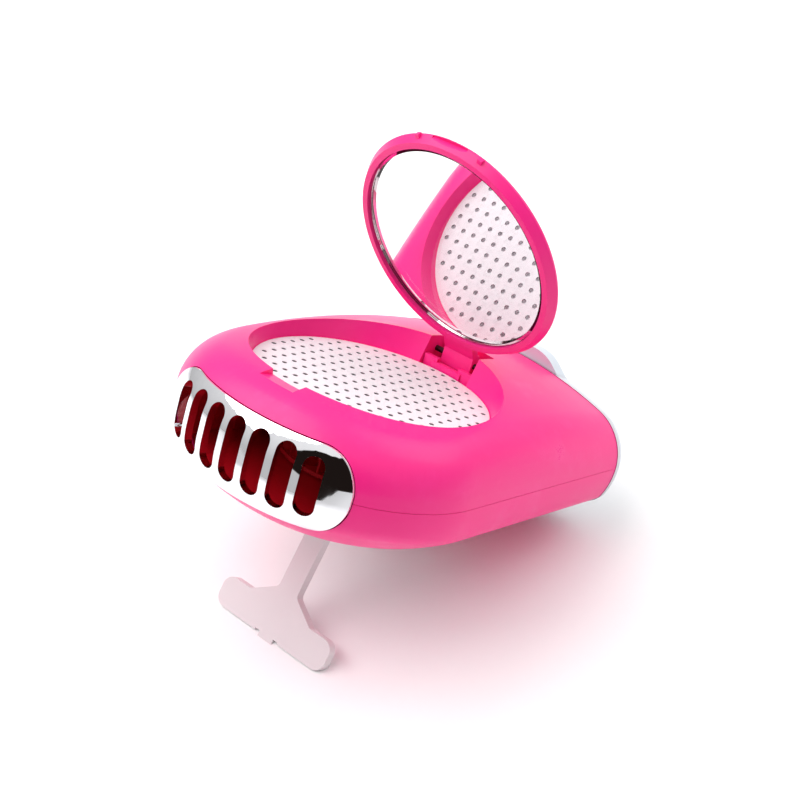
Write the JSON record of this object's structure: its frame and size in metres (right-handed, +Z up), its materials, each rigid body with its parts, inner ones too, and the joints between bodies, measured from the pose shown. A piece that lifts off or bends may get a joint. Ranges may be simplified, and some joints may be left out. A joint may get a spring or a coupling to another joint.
{
  "type": "eyelash extension fan",
  "caption": "Palm-sized lash-drying blower: perforated air intake under a hinged mirror lid, slotted nose outlet, folding T kickstand, silver rear cap with push button.",
  "frame": {"origin": "centre of the bounding box's bottom face, on the table the fan stands on", "axes": "+Z up, -Y out of the air outlet's side, +X to the right seen from behind the outlet; the body is tipped nose-up on its kickstand"},
  "size_m": [0.0838, 0.1092, 0.1106],
  "materials": {
    "pink_plastic": "satin moulded hot pink",
    "dark_pink_plastic": "matt moulded",
    "chrome_plating": "bright plating on plastic",
    "silver_lacquer": "satin silver lacquer on plastic",
    "white_plastic": "satin moulded off-white",
    "filter_fleece": "thin pale fleece",
    "mirror": "silvered glass",
    "adhesive_foam": "adhesive foam",
    "steel": "bright steel",
    "motor_can": "zinc plated can",
    "black_plastic": "black moulded",
    "circuit_board": "green solder mask",
    "clear_plastic": "clear moulded",
    "battery_wrap": "blue shrink wrap on a metal can",
    "lead_sleeve": "red flexible sleeve"
  },
  "bodies": {
    "body": {"upper_shell": "pink_plastic", "lower_shell": "pink_plastic", "hinge_block": "pink_plastic", "blower_scroll": "dark_pink_plastic", "scroll_cover": "dark_pink_plastic", "outlet_grille": "chrome_plating", "rear_cap": "silver_lacquer", "rear_trim_ring": "chrome_plating", "intake_plate": "white_plastic", "base_plate": "white_plastic", "battery_cradle": "white_plastic", "dust_filter": "filter_fleece", "hinge_pin": "steel", "kickstand_pin": "steel", "usb_socket": "steel", "motor_screws": "steel", "base_screws": "steel", "board_screws": "steel", "shell_screws": "steel", "fan_motor": "motor_can", "tact_switch": "black_plastic", "control_board": "circuit_board", "light_pipe": "clear_plastic", "battery_cell": "battery_wrap", "motor_leads": "lead_sleeve", "battery_leads": "lead_sleeve"},
    "lid": {"mirror_lid": "pink_plastic", "mirror_glass": "mirror", "mirror_pad": "adhesive_foam"},
    "stand": {"kickstand": "white_plastic"},
    "fan": {"impeller": "white_plastic", "motor_shaft": "steel"},
    "button": {"power_button": "chrome_plating"}
  },
  "joints": [
    {"name": "lid_hinge", "type": "hinge", "parent": "body", "child": "lid", "pos_m": [0, 0.02748, 0.04438], "axis": [-1, 0, 0], "range_deg": [-60, 40]},
    {"name": "kickstand_hinge", "type": "hinge", "parent": "body", "child": "stand", "pos_m": [0, -0.01956, 0.02917], "axis": [1, 0, 0], "range_deg": [0, 108]},
    {"name": "impeller_spin", "type": "hinge", "parent": "body", "child": "fan", "pos_m": [0, -0.01077, 0.04415], "axis": [0, 0.4262, 0.9046], "continuous": true},
    {"name": "button_press", "type": "slide", "parent": "body", "child": "button", "axis": [0, -0.9046, 0.4262], "range_m": [0, 0.0008], "stiffness_N_per_m": 1500}
  ]
}
